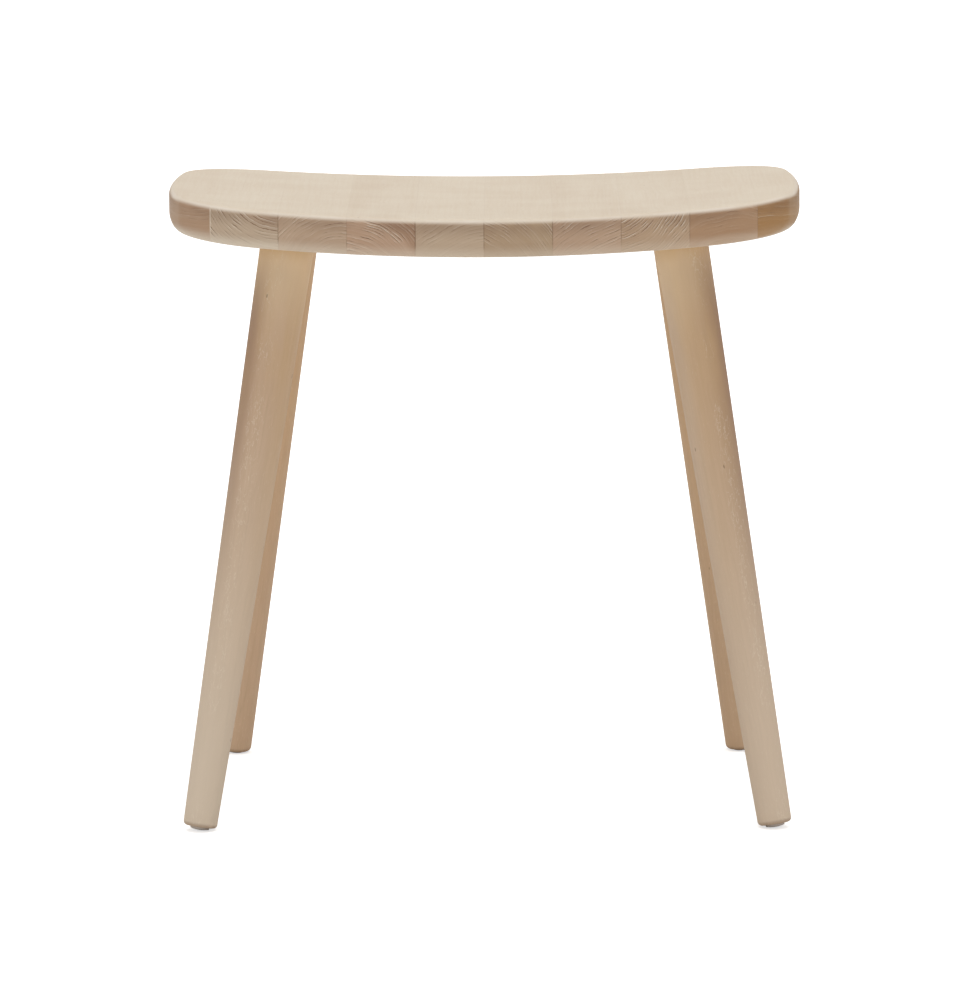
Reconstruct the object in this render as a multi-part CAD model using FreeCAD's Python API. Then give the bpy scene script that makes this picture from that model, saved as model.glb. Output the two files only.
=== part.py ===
import FreeCAD, Part
import math
import os

# A wooden stool: a dished seat of edge-glued staves on four splayed, tapered legs.
# X runs along the seat, from left to right for someone who faces the stool's front.
# The front looks towards -Y, and Z = 0 is the floor. The origin is midway between the legs.

# Seat, in millimetres
SEAT_LENGTH = 470.0
SEAT_DEPTH = 300.0
SEAT_THICKNESS = 29.0
SEAT_MIDDLE_HEIGHT = 450.0
DISH_RADIUS = 2100.0
CORNER_RADIUS = 75.0
LONG_SIDE_BOW = 10.0
SHORT_END_BOW = 3.5
TOP_EDGE_RADIUS = 6.0
UNDER_EDGE_RADIUS = 12.0
STAVE_WIDTH = 50.0
LEAST_END_STAVE_SHARE = 0.5

# Legs, with their splay as angles from upright, in degrees
LEG_TOP_DIAMETER = 40.0
LEG_FOOT_DIAMETER = 25.0
LEG_INSET_FROM_END = 90.5
LEG_INSET_FROM_SIDE = 45.0
FRONT_SIDEWAYS_ANGLE = 9.0
REAR_SIDEWAYS_ANGLE = 7.1
FORE_AND_AFT_ANGLE = 6.8
FOOT_EDGE_RADIUS = 3.0

# Leg joints: the top of the leg sits in a round housing, and its tenon goes on into a blind mortise
HOUSING_DEPTH = 4.0
TENON_DIAMETER = 24.0
TENON_LENGTH = 16.0
TENON_CHAMFER = 1.0
GLUE_CLEARANCE = 0.1
MORTISE_END_ROOM = 0.5

# Glides: nylon domes on the square-cut leg ends, worn flat where they touch the floor
GLIDE_DIAMETER = 14.0
GLIDE_HEIGHT = 2.5
GLIDE_DOME_RADIUS = 25.0
GLIDE_FLAT_DEPTH = 0.1

# Nails that hold the glides
NAIL_DIAMETER = 2.5
NAIL_LENGTH = 18.0
NAIL_POINT_LENGTH = 4.0
NAIL_HEAD_DIAMETER = 7.0
NAIL_HEAD_THICKNESS = 1.0
NAIL_HEAD_COVER = 0.6
NAIL_CLEARANCE = 0.05

UP = FreeCAD.Vector(0, 0, 1)
SIDES = {"left": -1, "right": 1}
ENDS = {"front": -1, "rear": 1}


def circle_arc(centre_x, centre_y, radius, from_degrees, to_degrees):
    """An arc in the XY plane, turning anticlockwise, as an edge."""
    circle = Part.Circle(FreeCAD.Vector(centre_x, centre_y, 0), UP, radius)
    return Part.ArcOfCircle(circle, math.radians(from_degrees), math.radians(to_degrees)).toShape()


def bow_radius(half_chord, bow):
    """The radius of an arc that rises by bow over its chord."""
    return (half_chord ** 2 + bow ** 2) / (2 * bow)


def seat_outline():
    """The seat seen from above: four gently bowed sides and four round corners, all tangent."""
    corner_x = SEAT_LENGTH / 2 - SHORT_END_BOW - CORNER_RADIUS
    corner_y = SEAT_DEPTH / 2 - LONG_SIDE_BOW - CORNER_RADIUS
    long_radius = bow_radius(corner_x, LONG_SIDE_BOW) + CORNER_RADIUS
    short_radius = bow_radius(corner_y, SHORT_END_BOW) + CORNER_RADIUS
    long_angle = math.degrees(math.asin(corner_x / (long_radius - CORNER_RADIUS)))
    short_angle = math.degrees(math.asin(corner_y / (short_radius - CORNER_RADIUS)))
    long_centre_y = SEAT_DEPTH / 2 - long_radius
    short_centre_x = SEAT_LENGTH / 2 - short_radius
    edges = [
        circle_arc(short_centre_x, 0, short_radius, -short_angle, short_angle),
        circle_arc(corner_x, corner_y, CORNER_RADIUS, short_angle, 90 - long_angle),
        circle_arc(0, long_centre_y, long_radius, 90 - long_angle, 90 + long_angle),
        circle_arc(-corner_x, corner_y, CORNER_RADIUS, 90 + long_angle, 180 - short_angle),
        circle_arc(-short_centre_x, 0, short_radius, 180 - short_angle, 180 + short_angle),
        circle_arc(-corner_x, -corner_y, CORNER_RADIUS, 180 + short_angle, 270 - long_angle),
        circle_arc(0, -long_centre_y, long_radius, 270 - long_angle, 270 + long_angle),
        circle_arc(corner_x, -corner_y, CORNER_RADIUS, 270 + long_angle, 360 - short_angle),
    ]
    return Part.Face(Part.Wire(Part.__sortEdges__(edges)))


def underside_height(x):
    """Height of the seat's underside, which is parallel to its dished top."""
    centre_z = SEAT_MIDDLE_HEIGHT + DISH_RADIUS
    return centre_z - math.sqrt((DISH_RADIUS + SEAT_THICKNESS) ** 2 - x ** 2)


def dished_slab():
    """A slab of even thickness, bent to the dish along X and wider than the seat."""
    centre = FreeCAD.Vector(0, -SEAT_DEPTH, SEAT_MIDDLE_HEIGHT + DISH_RADIUS)
    across = FreeCAD.Vector(0, 1, 0)
    outer = Part.makeCylinder(DISH_RADIUS + SEAT_THICKNESS, 2 * SEAT_DEPTH, centre, across)
    inner = Part.makeCylinder(DISH_RADIUS, 2 * SEAT_DEPTH, centre, across)
    return outer.cut(inner)


def seat_blank():
    """The whole seat before its joints are cut: outline, dish and rounded edges."""
    prism = seat_outline().extrude(UP * 2 * SEAT_MIDDLE_HEIGHT)
    blank = prism.common(dished_slab()).Solids[0]
    top_face = max(blank.Faces, key=lambda face: face.CenterOfMass.z)
    blank = blank.makeFillet(TOP_EDGE_RADIUS, top_face.Edges)
    under_face = min(blank.Faces, key=lambda face: face.CenterOfMass.z)
    return blank.makeFillet(UNDER_EDGE_RADIUS, under_face.Edges)


def leg_axis(end, side):
    """Where a leg's centre line meets the seat's underside, and its direction from floor to seat."""
    x = side * (SEAT_LENGTH / 2 - LEG_INSET_FROM_END)
    y = end * (SEAT_DEPTH / 2 - LEG_INSET_FROM_SIDE)
    sideways = FRONT_SIDEWAYS_ANGLE if end < 0 else REAR_SIDEWAYS_ANGLE
    lean_x = -side * math.tan(math.radians(sideways))
    lean_y = -end * math.tan(math.radians(FORE_AND_AFT_ANGLE))
    upward = FreeCAD.Vector(lean_x, lean_y, 1).normalize()
    return FreeCAD.Vector(x, y, underside_height(x)), upward


def foot_centre(end, side):
    """Centre of the square-cut leg end, at the height where the glide's dome reaches the floor."""
    top, upward = leg_axis(end, side)
    dome_centre_height = GLIDE_DOME_RADIUS - GLIDE_FLAT_DEPTH
    height = dome_centre_height - upward.z * (GLIDE_DOME_RADIUS - GLIDE_HEIGHT)
    return top - upward * ((top.z - height) / upward.z)


def turned(profile, start, upward):
    """A closed profile of (radius, height) edges, spun about a leg's centre line."""
    solid = Part.Face(Part.Wire(profile)).revolve(FreeCAD.Vector(0, 0, 0), UP, 360)
    solid.Placement = FreeCAD.Placement(start, FreeCAD.Rotation(UP, upward))
    return solid


def at(radius, height):
    """A point of a turned profile."""
    return FreeCAD.Vector(radius, 0, height)


def outline_through(*points):
    """Straight edges from point to point and back to the first."""
    return [Part.makeLine(a, b) for a, b in zip(points, points[1:] + points[:1])]


def leg_length(end, side):
    """From the square-cut foot to the shoulder in its housing, along the centre line."""
    return (leg_axis(end, side)[0] - foot_centre(end, side)).Length + HOUSING_DEPTH


def nail(end, side, clearance):
    """A glide nail, or the hole that it needs when a clearance is given."""
    upward = leg_axis(end, side)[1]
    head = NAIL_HEAD_DIAMETER / 2 + clearance
    shank = NAIL_DIAMETER / 2 + clearance
    head_foot = NAIL_HEAD_COVER - GLIDE_HEIGHT - clearance
    head_top = head_foot + NAIL_HEAD_THICKNESS + 2 * clearance
    tip = NAIL_LENGTH + clearance
    profile = outline_through(at(0, head_foot), at(head, head_foot), at(head, head_top), at(shank, head_top),
                              at(shank, tip - NAIL_POINT_LENGTH), at(0, tip))
    return turned(profile, foot_centre(end, side), upward)


def leg(end, side):
    """One turned leg: square-cut foot, straight taper, shoulder and tenon."""
    foot = LEG_FOOT_DIAMETER / 2
    top = LEG_TOP_DIAMETER / 2
    tenon = TENON_DIAMETER / 2
    shoulder = leg_length(end, side)
    tenon_end = shoulder + TENON_LENGTH
    profile = outline_through(at(0, 0), at(foot, 0), at(top, shoulder), at(tenon, shoulder),
                              at(tenon, tenon_end - TENON_CHAMFER), at(tenon - TENON_CHAMFER, tenon_end),
                              at(0, tenon_end))
    body = turned(profile, foot_centre(end, side), leg_axis(end, side)[1])
    foot_edges = [edge for edge in body.Edges if is_circle_at(edge, foot_centre(end, side), foot)]
    body = body.makeFillet(FOOT_EDGE_RADIUS, foot_edges)
    return body.cut(nail(end, side, NAIL_CLEARANCE))


def is_circle_at(edge, centre, radius):
    """Whether an edge is the full circle of this centre and radius."""
    curve = edge.Curve
    if not isinstance(curve, Part.Circle):
        return False
    same_centre = curve.Center.distanceToPoint(centre) < GLUE_CLEARANCE
    return same_centre and abs(curve.Radius - radius) < GLUE_CLEARANCE


def leg_socket(end, side):
    """What is bored out of the seat for one leg: the housing and the mortise past it."""
    upward = leg_axis(end, side)[1]
    shoulder = foot_centre(end, side) + upward * leg_length(end, side)
    housing = Part.makeCylinder(LEG_TOP_DIAMETER / 2 + GLUE_CLEARANCE, LEG_TOP_DIAMETER,
                                shoulder - upward * LEG_TOP_DIAMETER, upward)
    mortise = Part.makeCylinder(TENON_DIAMETER / 2 + GLUE_CLEARANCE, TENON_LENGTH + MORTISE_END_ROOM,
                                shoulder, upward)
    return housing.fuse(mortise)


def glide(end, side):
    """A domed nylon glide on the leg's end, cut flat where it rests on the floor."""
    radius = GLIDE_DIAMETER / 2
    dome_centre = GLIDE_DOME_RADIUS - GLIDE_HEIGHT
    rim = dome_centre - math.sqrt(GLIDE_DOME_RADIUS ** 2 - radius ** 2)
    middle = dome_centre - math.sqrt(GLIDE_DOME_RADIUS ** 2 - (radius / 2) ** 2)
    profile = [
        Part.Arc(at(0, -GLIDE_HEIGHT), at(radius / 2, middle), at(radius, rim)).toShape(),
        Part.makeLine(at(radius, rim), at(radius, 0)),
        Part.makeLine(at(radius, 0), at(0, 0)),
        Part.makeLine(at(0, 0), at(0, -GLIDE_HEIGHT)),
    ]
    foot = foot_centre(end, side)
    dome = turned(profile, foot, leg_axis(end, side)[1])
    corner = FreeCAD.Vector(foot.x - GLIDE_DIAMETER, foot.y - GLIDE_DIAMETER, -GLIDE_DIAMETER)
    below_floor = Part.makeBox(2 * GLIDE_DIAMETER, 2 * GLIDE_DIAMETER, GLIDE_DIAMETER, corner)
    return dome.cut(below_floor).cut(nail(end, side, NAIL_CLEARANCE))


def staves(blank):
    """The seat sawn at its glue joints, left to right.

    Whole staves are counted out from the middle while enough is left for an end stave.
    """
    whole = math.floor(SEAT_LENGTH / 2 / STAVE_WIDTH - LEAST_END_STAVE_SHARE)
    joints = [index * STAVE_WIDTH for index in range(-whole, whole + 1)]
    limits = [-SEAT_LENGTH] + joints + [SEAT_LENGTH]
    pieces = []
    for left, right in zip(limits, limits[1:]):
        corner = FreeCAD.Vector(left, -SEAT_DEPTH, 0)
        strip = Part.makeBox(right - left, 2 * SEAT_DEPTH, 2 * SEAT_MIDDLE_HEIGHT, corner)
        pieces.append(blank.common(strip))
    return pieces


def write(node, shape):
    """Write one piece as its own STEP file, as a plain single solid."""
    solid = shape.Solids[0]
    assert len(shape.Solids) == 1 and solid.isValid(), node
    solid.exportStep(f"parts/{node}.step")
    print(f"{node}: {solid.Volume / 1000:.1f} cm3")


def main():
    os.makedirs("parts", exist_ok=True)
    seat = seat_blank()
    for end_name, end in ENDS.items():
        for side_name, side in SIDES.items():
            corner = f"{end_name}_{side_name}"
            seat = seat.cut(leg_socket(end, side))
            write(f"{corner}_leg", leg(end, side))
            write(f"{corner}_glide", glide(end, side))
            write(f"{corner}_glide_nail", nail(end, side, 0.0))
    for number, stave in enumerate(staves(seat), start=1):
        write(f"seat_stave_{number:02d}", stave)


main()
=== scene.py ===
import math

import bpy
from bpy.props import FloatProperty, FloatVectorProperty, IntProperty, PointerProperty
from mathutils import Euler, Matrix, Vector


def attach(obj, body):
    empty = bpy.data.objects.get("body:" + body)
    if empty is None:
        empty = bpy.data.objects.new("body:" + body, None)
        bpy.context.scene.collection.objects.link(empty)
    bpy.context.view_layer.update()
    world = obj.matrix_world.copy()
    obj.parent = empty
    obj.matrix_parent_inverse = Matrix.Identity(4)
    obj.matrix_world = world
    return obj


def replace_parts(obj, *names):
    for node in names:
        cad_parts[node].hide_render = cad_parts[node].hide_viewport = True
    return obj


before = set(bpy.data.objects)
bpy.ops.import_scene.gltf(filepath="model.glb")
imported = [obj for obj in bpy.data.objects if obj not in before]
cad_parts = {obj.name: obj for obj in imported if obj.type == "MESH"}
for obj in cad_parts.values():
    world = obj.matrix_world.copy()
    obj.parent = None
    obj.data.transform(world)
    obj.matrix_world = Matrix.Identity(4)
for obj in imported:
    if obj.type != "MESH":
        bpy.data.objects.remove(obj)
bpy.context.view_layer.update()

bl_info = {
    "name": "Dished wooden stool",
    "version": (1, 0, 0),
    "blender": (4, 5, 0),
    "location": "3D View > Sidebar > Stool",
    "description": "Dresses the stool's staves, legs and glides, and sets up the studio round it",
    "category": "Object",
}

BODY = "root"
MM = 0.001
NUMBER = "NodeSocketFloat"
VECTOR = "NodeSocketVector"
COLOUR = "NodeSocketColor"
WOOD_GLOSS = 0.28
WELD_DISTANCE = 1e-6
SHARP_ANGLE = math.radians(30)
TAPER_CUTS = 40.0
EDGE_STEPS = 6
SENSOR_WIDTH = 36.0
FAR_CLIP = 100.0
NYLON_GREY = (0.62, 0.55, 0.49, 1.0)
NYLON_SCUFFED = (0.40, 0.34, 0.29, 1.0)
STEEL_DULL = (0.50, 0.50, 0.51, 1.0)
STEEL_BRIGHT = (0.62, 0.62, 0.63, 1.0)

CORNERS = {
    "front_left": (-1, -1),
    "front_right": (1, -1),
    "rear_left": (-1, 1),
    "rear_right": (1, 1),
}

# How each stave was sawn from its log, left to right. "pith" is where the middle of the log lies from
# the stave's own centre, in millimetres, and "ring" is the width of a year's ring. Then come how strongly
# the rings show on the cut ends, how far these go towards heartwood, how much paler they are low down,
# partly paler wood and partly painted light from the floor, and their tint. "core" gives the share of
# red-brown core wood that shows closer to the middle of the log than one distance, and the share beyond
# a second one: both distances first, then both shares.
STAVE_COLUMNS = ("pith", "ring", "strength", "heartwood", "paling_and_floor_light", "tint", "core")
STAVE_ROWS = (
    ((6, 150), 3.0, 0.25, 0.70, 0.78, (0.92, 0.83, 0.78), (40, 70, 0.1, 0.0)),
    ((30, 44), 2.4, 1.50, 0.10, 0.80, (1.07, 1.09, 1.09), (40, 50, 0.38, 0.0)),
    ((22, -38), 2.4, 0.70, 0.15, 0.60, (1.05, 1.00, 0.97), (46, 52, 0.14, 0.0)),
    ((-25, -40), 2.2, 1.70, 0.75, 0.45, (1.05, 0.98, 0.98), (54, 61, 0.0, 0.66)),
    ((32, -62), 2.6, 0.36, 0.10, 0.45, (1.07, 1.07, 1.05), (74, 80, 0.0, 0.16)),
    ((-46, -47), 2.1, 0.65, 0.30, 0.40, (0.93, 0.90, 0.82), (72, 76, 0.1, 0.0)),
    ((52, -90), 2.2, 0.85, 0.65, 0.45, (1.07, 1.03, 1.03), (98, 106, 0.0, 0.12)),
    ((-40, 42), 2.0, 1.65, 0.50, 0.35, (1.03, 0.99, 0.93), (50, 56, 0.16, 0.0)),
    ((10, -60), 2.8, 0.40, 0.30, 0.40, (0.89, 0.72, 0.58), (60, 68, 0.12, 0.0)),
    ((-18, -72), 3.0, 0.35, 0.30, 0.20, (0.79, 0.56, 0.28), (70, 80, 0.0, 0.1)),
)
STAVE_CUTS = [dict(zip(STAVE_COLUMNS, row)) for row in STAVE_ROWS]

# How the glue joint to the right of each stave shows on the cut ends: dark above zero, pale below it.
GLUE_JOINTS = [-0.55, 0.60, 0.50, 0.75, 0.55, 0.60, 0.60, 0.55, 0.20]

# How each leg was sawn, as for the staves, with the lean of the grain against the leg's centre line in
# degrees. "figure" is the side on which fine wavy figure shows, in degrees to the right of the front.
# "sides" lists the sides that take painted shade high up, or painted light where the colour is the seat's
# pale one, how much of it, and in which colour, and "top" is what is left of that at the seat. The three
# values before the tint say how much paler the foot is, as painted light from the floor, and how much
# painted warm shade and painted yellow light show under the seat.
LEG_CUTS = {
    "front_left": {
        "pith": (52, -30), "ring": 2.8, "lean": (1.6, -0.8), "heartwood": 0.45, "figure": -16,
        "sides": ((-85, 0.85, "core"), (0, 0.17, "core"), (80, 0.30, "warm_shade")),
        "top": 0.10, "paling_and_floor_light": 0.64, "warm": 0.60, "top_light": 1.00, "tint": (1.00, 1.01, 0.98)},
    "front_right": {
        "pith": (-60, -34), "ring": 2.6, "lean": (-1.2, 1.4), "heartwood": 0.35, "figure": 32,
        "sides": ((80, 1.00, "core"), (45, 0.42, "core"), (10, 0.30, "warm_shade"), (-85, 0.25, "seat_pale")),
        "top": 0.32, "paling_and_floor_light": 0.50, "warm": 0.55, "top_light": 0.95, "tint": (0.97, 0.96, 0.92)},
    "rear_left": {
        "pith": (20, 74), "ring": 2.4, "lean": (0.9, 1.1), "heartwood": 0.80, "figure": 150,
        "sides": ((-85, 0.50, "heartwood"), (40, 0.30, "warm_shade")),
        "top": 0.45, "paling_and_floor_light": 0.10, "warm": 0.40, "top_light": 0.55, "tint": (1.08, 1.04, 0.96)},
    "rear_right": {
        "pith": (-46, 40), "ring": 3.0, "lean": (-1.5, -0.7), "heartwood": 0.80, "figure": -140,
        "sides": ((80, 0.50, "heartwood"), (-30, 0.30, "warm_shade")),
        "top": 0.45, "paling_and_floor_light": 0.05, "warm": 0.40, "top_light": 0.55, "tint": (1.04, 1.01, 0.92)},
}

# Depths below the dished top, in millimetres, over which each thing on a stave's cut end comes or goes.
STAVE_DEPTHS = {
    "cut end comes": (1.2, 4.6),
    "painted shade goes": (4.0, 17.0),
    "rings fade": (8.0, 23.0),
    "pale wood and floor light come": (18.0, 28.5),
    "glue lines fade": (18.0, 25.0),
}

# The painted highlight on the seat's rounded top edge comes over the first depths and goes over the
# second ones. The next constant is the same for the painted shade and light on the legs' sides, in heights.
EDGE_HIGHLIGHT = ((0.3, 1.6), (2.4, 4.8))
SIDE_SHADE_HEIGHTS = ((70.0, 330.0), (370.0, 435.0))

# Heights up a leg, in millimetres, over which each thing comes or goes.
LEG_HEIGHTS = {
    "grey rim goes": (0.6, 4.0),
    "floor light goes": (0.0, 370.0),
    "warm shade comes": (250.0, 430.0),
    "top light comes": (350.0, 420.0),
    "warm shade under the seat": (436.0, 450.0),
}

# Where in a year's ring its dark line and its pale start come and go, as shares of the ring.
DARK_LINE = ((0.66, 0.89), (0.93, 1.0))
PALE_LINE = ((0.0, 0.06), (0.12, 0.38))

# How fine each pattern is. Those in the wood are per millimetre, and in a grain coordinate the grain runs
# along Z. The last two, on the glides and the nails, are per metre.
PATTERNS = {
    "wander": (0.05, 0.05, 0.05),
    "shiver": (0.45, 0.45, 0.45),
    "faded rings": (0.075, 0.075, 0.075),
    "swerve": (0.02, 0.02, 0.03),
    "streak": (0.5, 0.5, 0.010),
    "pore": (1.6, 1.6, 0.10),
    "cloud": (0.035, 0.035, 0.006),
    "speckle": (1.3, 1.3, 0.6),
    "fleck": (0.09, 0.09, 0.03),
    "ray": (0.85, 0.85, 0.16),
    "glue": (0.013, 0.05, 0.11),
    "stave patch": (0.035, 0.01, 0.05),
    "stave blotch": (0.013, 0.02, 0.02),
    "leg patch": (0.045, 0.045, 0.010),
    "ripple": (0.34, 0.34, 0.085),
    "ripple gaps": (0.02, 0.02, 0.02),
    "scuffs": (900.0, 160.0, 900.0),
    "wire marks": (500.0, 500.0, 4000.0),
}

# How far these move the rings and the fibres, in millimetres.
SWINGS = {"wander": 4.5, "shiver": 0.9, "swerve": 5.0}

# How strongly each thing shows. The rows are for cut ends, long grain, the staves and the legs.
SHARES = {
    "speckle": 0.22, "year": 0.08, "pale line": 0.85, "dark line": 1.55,
    "cloud": 0.18, "streak": 0.055, "ring": 0.06, "ray": 0.06, "pore": 0.04,
    "painted shade under the edge": 0.36, "stave blotch": 0.10, "stave fleck": 0.18,
    "ripple": 0.32, "leg fleck": 0.60, "rim": 0.5, "leg end": 0.35,
}


def size_of(name, description, metres):
    return FloatProperty(name=name, description=description, default=metres, unit="LENGTH")


def angle_of(name, description, radians):
    return FloatProperty(name=name, description=description, default=radians, subtype="ANGLE")


def share_of(name, description, share):
    return FloatProperty(
        name=name, description=description, default=share, subtype="FACTOR", min=0.0, max=1.0)


def colour_of(name, description, red, green, blue):
    return FloatVectorProperty(name=name, description=description, subtype="COLOR", size=4,
                               default=(red, green, blue, 1.0), min=0.0, max=1.0)


class StoolSeat(bpy.types.PropertyGroup):
    """Sizes of the seat that the staves and the legs share."""

    length: size_of("Length", "Left end to right end", 0.470)
    depth: size_of("Depth", "Front edge to rear edge", 0.300)
    thickness: size_of("Thickness", "Top to underside", 0.029)
    middle_height: size_of("Height", "Floor to the top of the seat's middle", 0.450)
    dish_radius: size_of("Dish radius", "Radius of the curve that the top follows", 2.100)
    stave_width: size_of("Stave width", "Glue joint to glue joint", 0.050)


class StoolLegs(bpy.types.PropertyGroup):
    """Sizes of the turned legs and their glides."""

    top_radius: size_of("Top radius", "At the seat", 0.020)
    foot_radius: size_of("Foot radius", "At the floor", 0.0125)
    foot_edge: size_of("Foot edge", "Rounding of the foot's edge", 0.003)
    housing_depth: size_of("Housing depth", "How far the leg is let into the seat", 0.004)
    tenon_radius: size_of("Tenon radius", "Of the tenon on the leg's top end", 0.012)
    tenon_length: size_of("Tenon length", "From shoulder to end", 0.016)
    inset_from_end: size_of("Inset from end", "Seat end to leg centre", 0.0905)
    inset_from_side: size_of("Inset from side", "Seat side to leg centre", 0.045)
    front_angle: angle_of("Front splay", "Sideways lean of the front legs", math.radians(9.0))
    rear_angle: angle_of("Rear splay", "Sideways lean of the rear legs", math.radians(7.1))
    fore_angle: angle_of("Splay front to back", "Lean of all legs along the seat's depth", math.radians(6.8))
    glide_radius: size_of("Glide radius", "Of the domed glide", 0.007)
    glide_height: size_of("Glide height", "Leg end to the top of the dome", 0.0025)
    dome_radius: size_of("Dome radius", "Of the glide's dome", 0.025)
    dome_flat: size_of("Worn flat", "How much of the dome is worn off", 0.0001)
    sides: IntProperty(name="Sides", description="Faces round a leg", default=96, min=12)


class StoolWood(bpy.types.PropertyGroup):
    """Colours and finish of the wood, as they look in plain white light, and colours of the painted light and
    shade on it.
    """

    seat_pale: colour_of("Seat", "Long grain of the bleached seat", 0.795, 0.695, 0.560)
    leg_pale: colour_of("Legs", "Long grain of the legs", 0.675, 0.470, 0.320)
    shade: colour_of("Grain lines", "Fibres and ring edges on the long grain", 0.50, 0.34, 0.21)
    end_grain: colour_of("End grain", "Cut ends of the fibres", 0.56, 0.425, 0.305)
    heartwood: colour_of("Heartwood", "Browner wood from near the middle of the log", 0.53, 0.36, 0.235)
    # Painted warm shade and bounce light under the seat.
    warm_shade: colour_of("Warm shade", "Warm patches that the bleaching has missed", 0.68, 0.46, 0.24)
    # Painted light at the top of the legs, where the seat shades them.
    top_light: colour_of("Top light", "Fresh yellow wood at the top of the legs", 0.86, 0.64, 0.40)
    core: colour_of("Core", "Red-brown wood from the very middle of the log", 0.40, 0.238, 0.148)
    # Painted highlight along the seat's rounded top edge.
    edge_highlight: colour_of("Edge highlight", "Paler wood along the seat's rounded top edge", 0.86, 0.77, 0.67)
    ring_dark: colour_of("Ring line", "Dark edge of a year's ring on the end grain", 0.22, 0.125, 0.075)
    ring_pale: colour_of("Ring start", "Pale start of a year's ring on the end grain", 0.90, 0.79, 0.64)
    roughness: share_of("Roughness", "Of the soaped surface", 0.58)
    leg_grain: FloatProperty(
        name="Leg grain", description="How much stronger the legs' grain shows than the seat's", default=3.6)
    grain_height: size_of("Grain height", "Height of the fibres that catch the light", 0.0002)
    grain_relief: share_of("Grain relief", "How far that height shows", 0.16)


class StoolStudio(bpy.types.PropertyGroup):
    """The camera, the lamps and the floor."""

    camera_distance: size_of("Camera distance", "Camera to the stool's centre, along the floor", 5.4375)
    camera_height: size_of("Camera height", "Above the floor", 1.0543)
    camera_turn: angle_of("Camera turn", "Round the stool, to its right", 0.0036)
    camera_tilt: angle_of("Camera tilt", "Downwards", 0.1521)
    camera_roll: angle_of("Camera roll", "About its line of sight", -0.006)
    lens: FloatProperty(name="Lens", description="Focal length, in millimetres", default=263.3)
    side_shift: FloatProperty(name="Side shift", description="Share of the picture's height", default=-0.0042)
    floor_size: size_of("Floor size", "Side of the floor", 60.0)
    floor_white: share_of("Floor white", "Reflectance of the floor", 0.86)
    floor_lift: share_of("Floor lift", "White that the floor adds for the camera alone", 0.62)
    floor_gloss_lift: share_of("Floor gloss lift", "White that the floor adds in reflections", 0.05)
    sky_level: share_of("Sky level", "Even light from all round", 0.45)
    sky_gloss_level: share_of("Sky gloss level", "Brightness of the room in reflections", 0.45)
    overhead_level: share_of("Overhead level", "Light of the big soft box overhead", 0.50)
    overhead_tilt: angle_of("Overhead tilt", "Lean of that light towards the front", math.radians(3))
    front_level: share_of("Front level", "Light of the soft box at the front", 0.045)
    front_tilt: angle_of("Front tilt", "Lean of that light from straight above", math.radians(80))
    softness: angle_of("Softness", "Width of the soft boxes, seen from the stool", math.radians(52))


class NodeMaker:
    """Adds nodes to a tree and feeds them, from other nodes' sockets or with plain values."""

    def __init__(self, tree):
        self.tree = tree

    def add(self, kind, feeds=None, **settings):
        node = self.tree.nodes.new(kind)
        for name, value in settings.items():
            setattr(node, name, value)
        for socket, value in (feeds or {}).items():
            self.feed(node.inputs[socket], value)
        return node

    def feed(self, socket, value):
        if isinstance(value, bpy.types.NodeSocket):
            self.tree.links.new(value, socket)
        else:
            socket.default_value = value

    def math(self, operation, *values, kind="ShaderNodeMath"):
        node = self.add(kind, operation=operation)
        for socket, value in zip(node.inputs, values):
            self.feed(socket, value)
        return node.outputs[0]

    def vector(self, operation, *values):
        return self.math(operation, *values, kind="ShaderNodeVectorMath")

    def measure(self, operation, *vectors):
        """A number got from vectors, such as their dot product or a length."""
        feeds = dict(enumerate(vectors))
        return self.add("ShaderNodeVectorMath", feeds, operation=operation).outputs["Value"]

    def combine(self, x, y, z):
        return self.add("ShaderNodeCombineXYZ", {"X": x, "Y": y, "Z": z}).outputs[0]

    def split(self, vector):
        return self.add("ShaderNodeSeparateXYZ", {0: vector}).outputs

    def ramp(self, value, low, high, to_low=0.0, to_high=1.0):
        """A smooth step from to_low to to_high while value goes from low to high."""
        feeds = {"Value": value, "From Min": low, "From Max": high, "To Min": to_low, "To Max": to_high}
        return self.add("ShaderNodeMapRange", feeds, interpolation_type="SMOOTHSTEP").outputs[0]

    def blend(self, factor, first, second):
        """A mix of two colours."""
        node = self.add("ShaderNodeMix", data_type="RGBA")
        self.feed(node.inputs["Factor"], factor)
        self.feed(node.inputs[6], first)
        self.feed(node.inputs[7], second)
        return node.outputs[2]

    def noise(self, vector, detail=2.0, roughness=0.5):
        feeds = {"Vector": vector, "Scale": 1.0, "Detail": detail, "Roughness": roughness}
        return self.add("ShaderNodeTexNoise", feeds).outputs[0]

    def times(self, *values):
        """The product of these values."""
        product = values[0]
        for value in values[1:]:
            product = self.math("MULTIPLY", product, value)
        return product

    def band(self, value, comes, goes, left=0.0):
        """One where the value lies between two steps, and what is left beyond the second one."""
        return self.times(self.ramp(value, *comes), self.ramp(value, *goes, 1.0, left))

    def pattern(self, name, place, detail=2.0, roughness=0.5):
        """Noise as fine as PATTERNS says."""
        return self.noise(self.vector("MULTIPLY", place, PATTERNS[name]), detail, roughness)

    def swing(self, name, place, detail):
        """A sideways move, to both sides, as wide as SWINGS says."""
        return self.times(self.math("SUBTRACT", self.pattern(name, place, detail), 0.5), SWINGS[name])


def node_group(name, kind, inputs, outputs):
    """A new node group with these sockets; returns its maker, its input sockets and its output node."""
    group = bpy.data.node_groups.new(name, kind)
    for label, socket, *default in inputs:
        made = group.interface.new_socket(label, in_out="INPUT", socket_type=socket)
        if default:
            made.default_value = default[0]
    for label, socket in outputs:
        group.interface.new_socket(label, in_out="OUTPUT", socket_type=socket)
    maker = NodeMaker(group)
    return maker, maker.add("NodeGroupInput").outputs, maker.add("NodeGroupOutput")


def finish_group(maker, result, outputs):
    """Feeds a group's named outputs and returns the group."""
    for socket, value in outputs.items():
        maker.feed(result.inputs[socket], value)
    return maker.tree


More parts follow.
